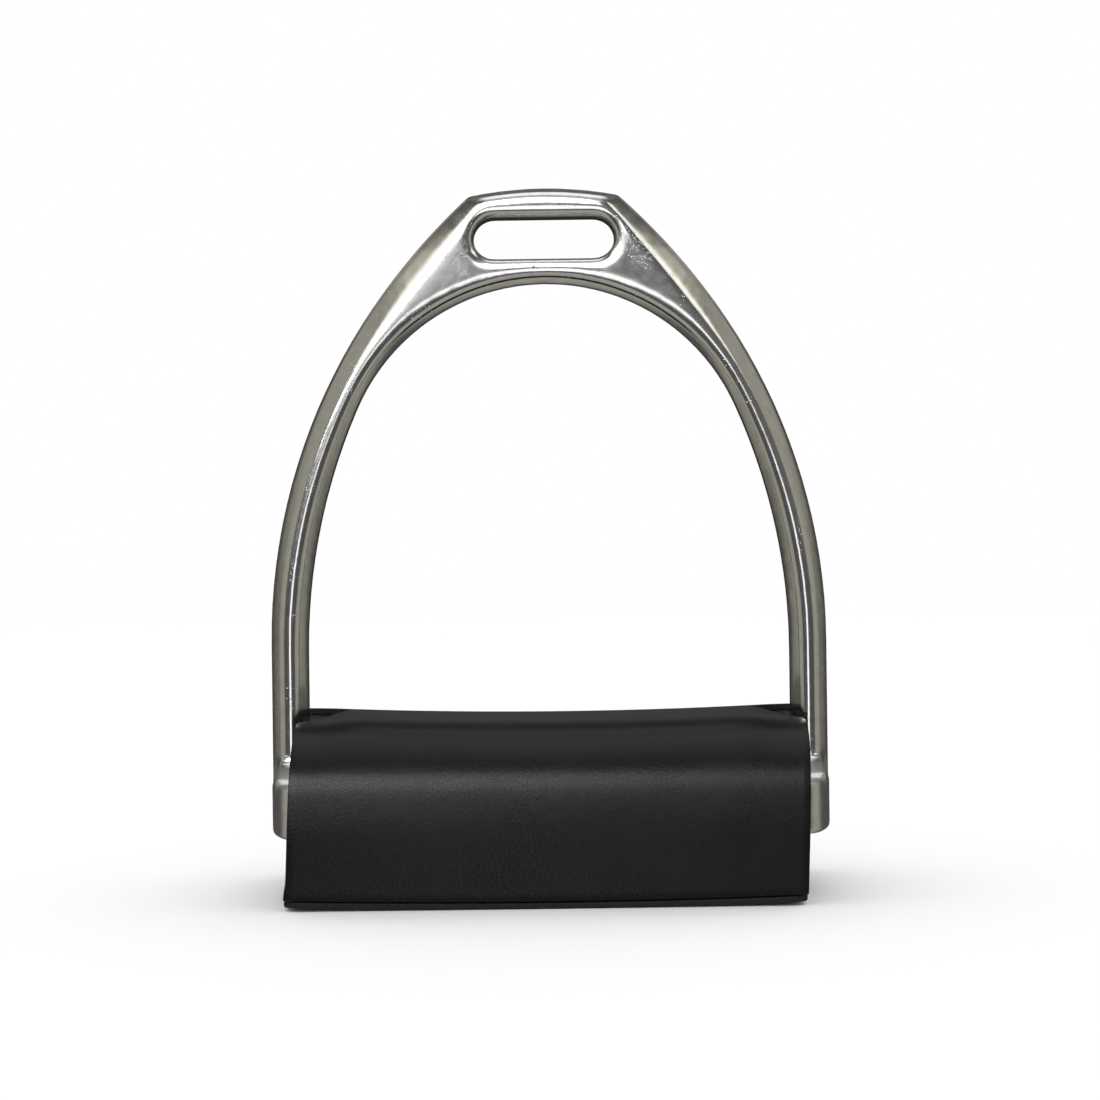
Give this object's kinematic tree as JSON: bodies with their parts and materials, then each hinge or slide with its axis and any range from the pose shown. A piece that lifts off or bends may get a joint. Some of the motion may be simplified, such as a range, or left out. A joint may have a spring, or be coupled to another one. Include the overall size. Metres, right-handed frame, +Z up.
{
  "type": "stirrup iron",
  "caption": "Stirrup iron with a leather slot at the top, a rubber tread, and a padded leather tread cover closed by a hinged flap.",
  "frame": {"origin": "middle of the underside of the tread cover, on which the stirrup stands", "axes": "+X across the iron, +Y from front to back, +Z up towards the leather slot"},
  "size_m": [0.1388, 0.066, 0.1753],
  "materials": {
    "polished_stainless": "polished",
    "tread_rubber": "matte",
    "black_leather": "fine grain, low sheen",
    "foam": "open cell",
    "lining": "woven",
    "strip_tape": "hook and loop",
    "thread": "waxed thread"
  },
  "bodies": {
    "iron_and_cover": {"iron_casting": "polished_stainless", "tread_rubber": "tread_rubber", "cover_leather": "black_leather", "cover_foam": "foam", "cover_lining": "lining", "loop_strip": "strip_tape", "loop_strip_stitches": "thread", "hinge_stitches": "thread"},
    "flap": {"flap_leather": "black_leather", "flap_foam": "foam", "flap_lining": "lining", "hook_strip": "strip_tape", "hook_strip_stitches": "thread"}
  },
  "joints": [
    {"name": "flap_hinge", "type": "hinge", "parent": "iron_and_cover", "child": "flap", "pos_m": [0, 0.033, 0.00165], "axis": [1, 0, 0], "range_deg": [0, 110]}
  ]
}
